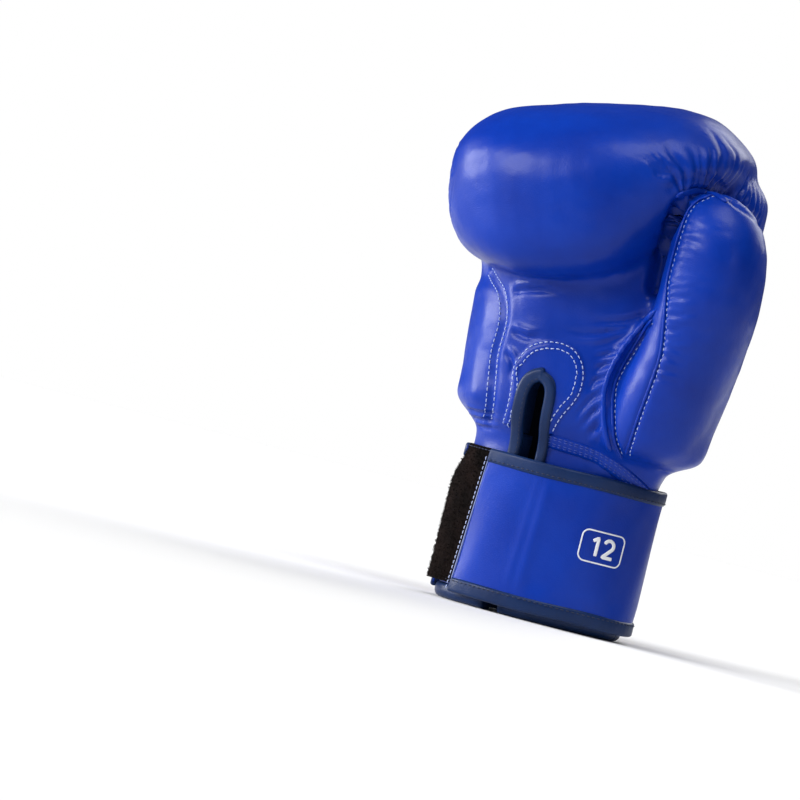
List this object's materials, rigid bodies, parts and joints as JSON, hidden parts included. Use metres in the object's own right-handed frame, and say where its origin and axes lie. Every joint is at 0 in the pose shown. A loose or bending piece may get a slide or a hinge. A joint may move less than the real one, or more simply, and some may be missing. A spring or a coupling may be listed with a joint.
{
  "type": "boxing glove",
  "caption": "Right-hand padded boxing glove standing on its cuff, with a curled fist, an attached thumb, a slit palm and a hook-and-loop wrist strap.",
  "frame": {"origin": "centre of the cuff's mouth, on the plane the cuff's rim stands on", "axes": "+Z along the glove from the cuff to the knuckles, -Y out of the palm, +X towards the thumb"},
  "size_m": [0.1835, 0.1355, 0.2797],
  "materials": {
    "blue_leather": "semi-gloss",
    "blue_palm_leather": "semi-gloss",
    "navy_binding": "satin",
    "foam": "matt",
    "dense_foam": "matt",
    "lining": "matt",
    "loop_pile": "brushed",
    "hook_tape": "matt",
    "label_field": "satin",
    "label_border": "satin",
    "bar": "matt"
  },
  "bodies": {
    "mitt": {"back_panel": "blue_leather", "palm_panel": "blue_palm_leather", "edge_pad_cover": "blue_leather", "edge_pad_foam": "foam", "palm_pad": "foam", "impact_back_foam": "dense_foam", "impact_roll_foam": "dense_foam", "core_back_foam": "foam", "core_roll_foam": "foam", "thumb_side_foam": "foam", "hand_lining": "lining", "thumb_passage_lining": "lining", "slit_patch": "blue_leather", "slit_binding": "navy_binding", "thumb_tie": "blue_leather", "grip_bar": "bar", "grip_sleeve": "lining", "cuff_cover": "blue_leather", "cuff_foam": "foam", "cuff_lining": "lining", "cuff_rim_binding": "navy_binding", "strap_pad": "foam", "strap_back_leather": "blue_leather", "strap_back_lining": "lining", "strap_back_top_binding": "navy_binding", "strap_back_bottom_binding": "navy_binding", "label_field": "label_field", "label_border": "label_border"},
    "ulnar_flap": {"ulnar_flap_cover": "blue_leather", "ulnar_flap_foam": "foam", "ulnar_flap_lining": "lining", "ulnar_flap_binding": "navy_binding", "loop_pad": "loop_pile"},
    "thumb_flap": {"thumb_flap_cover": "blue_leather", "thumb_flap_foam": "foam", "thumb_flap_lining": "lining", "thumb_flap_binding": "navy_binding"},
    "strap": {"strap_front_leather": "blue_leather", "strap_front_lining": "lining", "strap_front_top_binding": "navy_binding", "strap_front_bottom_binding": "navy_binding", "hook_pad": "hook_tape"},
    "thumb": {"thumb_outer_panel": "blue_leather", "thumb_inner_panel": "blue_palm_leather", "thumb_front_foam": "foam", "thumb_back_foam": "foam", "thumb_lining": "lining", "thumb_welt": "blue_leather"}
  },
  "joints": [
    {"name": "strap_swing", "type": "hinge", "parent": "mitt", "child": "strap", "pos_m": [0.055, 0.00075, 0.043], "axis": [0, 0, 1], "range_deg": [0, 130]},
    {"name": "ulnar_flap_open", "type": "hinge", "parent": "mitt", "child": "ulnar_flap", "pos_m": [-0.0495, -0.004, 0.045], "axis": [0, 0, -1], "range_deg": [0, 13]},
    {"name": "thumb_flap_open", "type": "hinge", "parent": "mitt", "child": "thumb_flap", "pos_m": [0.0495, -0.004, 0.045], "axis": [0, 0, 1], "range_deg": [0, 13]},
    {"name": "thumb_flex", "type": "hinge", "parent": "mitt", "child": "thumb", "pos_m": [0.05, -0.02, 0.098], "axis": [0.69, 0.7238, 0], "range_deg": [0, 6], "stiffness_Nm_per_rad": 3}
  ],
  "couplings": [
    {"joint": "ulnar_flap_open", "follows": "strap_swing", "ratio": 0.1},
    {"joint": "thumb_flap_open", "follows": "strap_swing", "ratio": 0.1}
  ]
}
